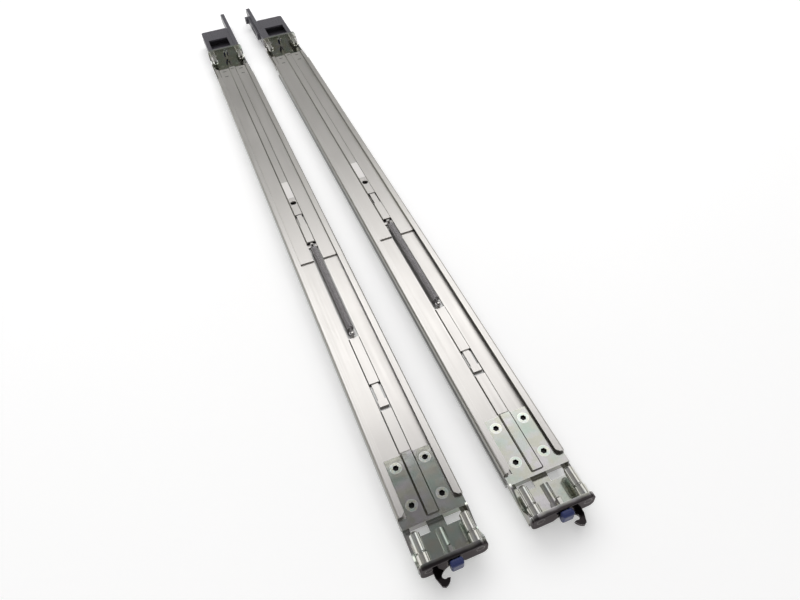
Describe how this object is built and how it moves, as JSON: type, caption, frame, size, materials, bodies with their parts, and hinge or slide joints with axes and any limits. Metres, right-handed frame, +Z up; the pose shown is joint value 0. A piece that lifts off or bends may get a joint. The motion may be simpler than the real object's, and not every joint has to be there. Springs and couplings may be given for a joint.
{
  "type": "sliding server rail pair",
  "caption": "Mirrored pair of ball-bearing sliding rack rails with spring-loaded telescoping rear ends, stepped post pins and push-button latches.",
  "frame": {"origin": "bottom centre of the pair's bounding box, with both rails closed and lying flat on their server sides", "axes": "+Y from the front bars to the rear cable brackets, +Z up from the server side to the rack post side, +X to the right seen from the front"},
  "size_m": [0.113, 0.8018, 0.0248],
  "materials": {
    "galvanised_steel": "satin galvanised steel, fine lengthwise rolling marks",
    "slide_steel": "cold-rolled steel, light oil film",
    "zinc_plate": "bright zinc plating with a faint green and yellow tint",
    "bright_pin": "bright turned steel",
    "zinc_screw": "zinc-plated",
    "ball_steel": "polished",
    "cage_plastic": "matte dark plastic",
    "spring_steel": "dark oiled spring wire",
    "button_plastic": "blue-violet moulded plastic",
    "dark_plastic": "dark grey moulding"
  },
  "bodies": {
    "rail_pair": {"left_outer_channel": "galvanised_steel", "left_front_bracket": "zinc_plate", "left_front_pins": "bright_pin", "left_front_screws": "zinc_screw", "left_chassis_catch": "zinc_plate", "left_front_latch_pin": "bright_pin", "left_slide_outer_member": "slide_steel", "left_slide_rivets": "zinc_screw", "left_tension_spring": "spring_steel", "right_outer_channel": "galvanised_steel", "right_front_bracket": "zinc_plate", "right_front_pins": "bright_pin", "right_front_screws": "zinc_screw", "right_chassis_catch": "zinc_plate", "right_front_latch_pin": "bright_pin", "right_slide_outer_member": "slide_steel", "right_slide_rivets": "zinc_screw", "right_tension_spring": "spring_steel"},
    "left_front_latch": {"left_front_latch_lever": "bright_pin", "left_front_button": "button_plastic"},
    "left_rear_latch": {"left_rear_latch_lever": "bright_pin", "left_rear_button": "button_plastic"},
    "left_intermediate": {"left_intermediate_member": "slide_steel"},
    "left_outer_cage": {"left_outer_ball_cage": "cage_plastic", "left_outer_balls": "ball_steel"},
    "left_inner_cage": {"left_inner_ball_cage": "cage_plastic", "left_inner_balls": "ball_steel"},
    "left_inner": {"left_inner_member": "slide_steel", "left_lock_lever_rivet": "zinc_screw"},
    "left_lock": {"left_lock_lever": "slide_steel"},
    "left_rear_section": {"left_rear_plate": "galvanised_steel", "left_rear_bracket": "zinc_plate", "left_rear_pins": "bright_pin", "left_rear_latch_pin": "bright_pin", "left_cable_arm_bracket": "dark_plastic", "left_cable_arm_screws": "zinc_screw", "left_cable_arm_hook": "dark_plastic"},
    "right_front_latch": {"right_front_latch_lever": "bright_pin", "right_front_button": "button_plastic"},
    "right_rear_latch": {"right_rear_latch_lever": "bright_pin", "right_rear_button": "button_plastic"},
    "right_intermediate": {"right_intermediate_member": "slide_steel"},
    "right_outer_cage": {"right_outer_ball_cage": "cage_plastic", "right_outer_balls": "ball_steel"},
    "right_inner_cage": {"right_inner_ball_cage": "cage_plastic", "right_inner_balls": "ball_steel"},
    "right_inner": {"right_inner_member": "slide_steel", "right_lock_lever_rivet": "zinc_screw"},
    "right_lock": {"right_lock_lever": "slide_steel"},
    "right_rear_section": {"right_rear_plate": "galvanised_steel", "right_rear_bracket": "zinc_plate", "right_rear_pins": "bright_pin", "right_rear_latch_pin": "bright_pin", "right_cable_arm_bracket": "dark_plastic", "right_cable_arm_screws": "zinc_screw", "right_cable_arm_hook": "dark_plastic"}
  },
  "joints": [
    {"name": "left_rear_slide", "type": "slide", "parent": "rail_pair", "child": "left_rear_section", "axis": [0, 1, 0], "range_m": [0, 0.19], "stiffness_N_per_m": 60, "springref_m": -0.05, "deforming": ["left_tension_spring"]},
    {"name": "left_intermediate_slide", "type": "slide", "parent": "rail_pair", "child": "left_intermediate", "axis": [0, -1, 0], "range_m": [0, 0.3]},
    {"name": "left_outer_cage_slide", "type": "slide", "parent": "rail_pair", "child": "left_outer_cage", "axis": [0, -1, 0], "range_m": [0, 0.15]},
    {"name": "left_inner_slide", "type": "slide", "parent": "left_intermediate", "child": "left_inner", "axis": [0, -1, 0], "range_m": [0, 0.3]},
    {"name": "left_inner_cage_slide", "type": "slide", "parent": "left_intermediate", "child": "left_inner_cage", "axis": [0, -1, 0], "range_m": [0, 0.15]},
    {"name": "left_lock_lever_turn", "type": "hinge", "parent": "left_inner", "child": "left_lock", "pos_m": [-0.03525, -0.2311, 0.0016], "axis": [0, 0, -1], "range_deg": [0, 8], "stiffness_Nm_per_rad": 0.02, "springref_deg": -5.73},
    {"name": "left_front_latch_turn", "type": "hinge", "parent": "rail_pair", "child": "left_front_latch", "pos_m": [-0.03525, -0.3903, 0.02041], "axis": [1, 0, 0], "range_deg": [0, 16], "stiffness_Nm_per_rad": 0.03, "springref_deg": -8.59},
    {"name": "left_rear_latch_turn", "type": "hinge", "parent": "left_rear_section", "child": "left_rear_latch", "pos_m": [-0.03525, 0.2844, 0.02041], "axis": [-1, 0, 0], "range_deg": [0, 16], "stiffness_Nm_per_rad": 0.03, "springref_deg": -8.59},
    {"name": "right_rear_slide", "type": "slide", "parent": "rail_pair", "child": "right_rear_section", "axis": [0, 1, 0], "range_m": [0, 0.19], "stiffness_N_per_m": 60, "springref_m": -0.05, "deforming": ["right_tension_spring"]},
    {"name": "right_intermediate_slide", "type": "slide", "parent": "rail_pair", "child": "right_intermediate", "axis": [0, -1, 0], "range_m": [0, 0.3]},
    {"name": "right_outer_cage_slide", "type": "slide", "parent": "rail_pair", "child": "right_outer_cage", "axis": [0, -1, 0], "range_m": [0, 0.15]},
    {"name": "right_inner_slide", "type": "slide", "parent": "right_intermediate", "child": "right_inner", "axis": [0, -1, 0], "range_m": [0, 0.3]},
    {"name": "right_inner_cage_slide", "type": "slide", "parent": "right_intermediate", "child": "right_inner_cage", "axis": [0, -1, 0], "range_m": [0, 0.15]},
    {"name": "right_lock_lever_turn", "type": "hinge", "parent": "right_inner", "child": "right_lock", "pos_m": [0.03525, -0.2311, 0.0016], "axis": [0, 0, 1], "range_deg": [0, 8], "stiffness_Nm_per_rad": 0.02, "springref_deg": -5.73},
    {"name": "right_front_latch_turn", "type": "hinge", "parent": "rail_pair", "child": "right_front_latch", "pos_m": [0.03525, -0.3903, 0.02041], "axis": [1, 0, 0], "range_deg": [0, 16], "stiffness_Nm_per_rad": 0.03, "springref_deg": -8.59},
    {"name": "right_rear_latch_turn", "type": "hinge", "parent": "right_rear_section", "child": "right_rear_latch", "pos_m": [0.03525, 0.2844, 0.02041], "axis": [-1, 0, 0], "range_deg": [0, 16], "stiffness_Nm_per_rad": 0.03, "springref_deg": -8.59}
  ],
  "couplings": [
    {"joint": "left_outer_cage_slide", "follows": "left_intermediate_slide", "ratio": 0.5},
    {"joint": "left_inner_cage_slide", "follows": "left_inner_slide", "ratio": 0.5},
    {"joint": "right_outer_cage_slide", "follows": "right_intermediate_slide", "ratio": 0.5},
    {"joint": "right_inner_cage_slide", "follows": "right_inner_slide", "ratio": 0.5}
  ]
}
